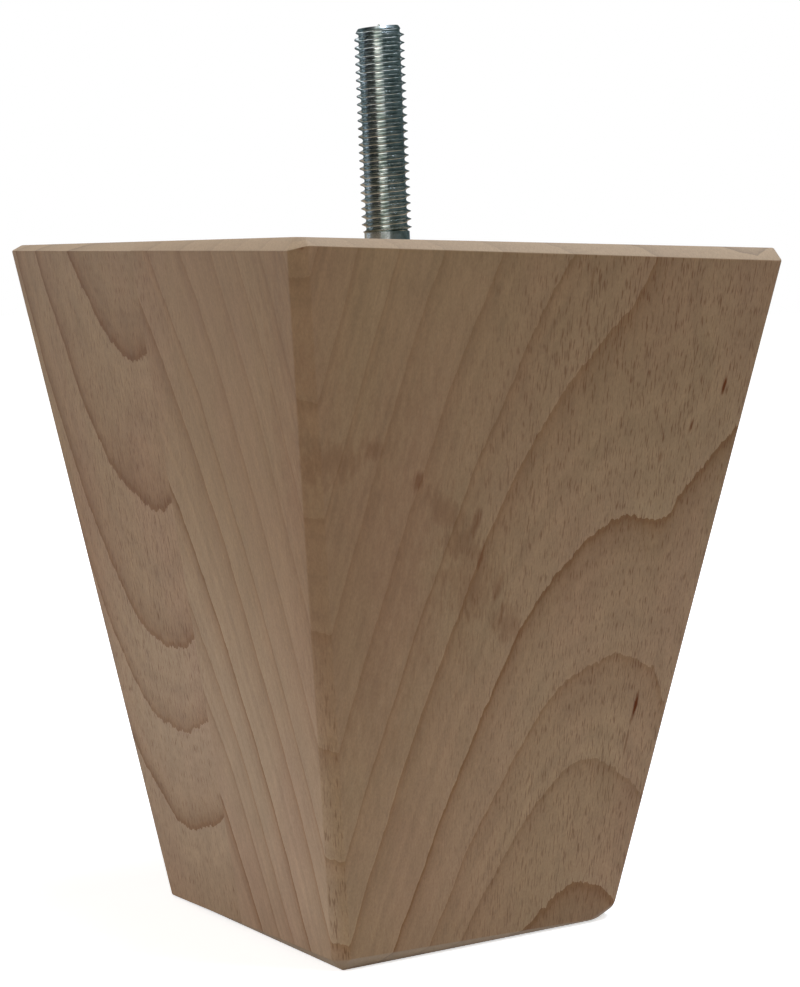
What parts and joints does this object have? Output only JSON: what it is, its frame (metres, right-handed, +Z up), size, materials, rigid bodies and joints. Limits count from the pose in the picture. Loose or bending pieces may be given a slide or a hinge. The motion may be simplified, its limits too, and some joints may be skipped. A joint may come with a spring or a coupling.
{
  "type": "wooden furniture leg",
  "caption": "Tapered square wooden furniture leg glued from two staves, wider at the top, with a threaded steel stud standing out of the large end.",
  "frame": {"origin": "centre of the small end, on the floor", "axes": "+Z up through the block to the large end and its stud; the glue line lies in the plane y = +1.6 mm"},
  "size_m": [0.0894, 0.0894, 0.1411],
  "materials": {
    "raw_wood": "sanded, untreated",
    "zinc_plated_steel": "bright zinc plate"
  },
  "bodies": {
    "root": {"front_stave": "raw_wood", "rear_stave": "raw_wood", "hanger_bolt": "zinc_plated_steel"}
  },
  "joints": []
}
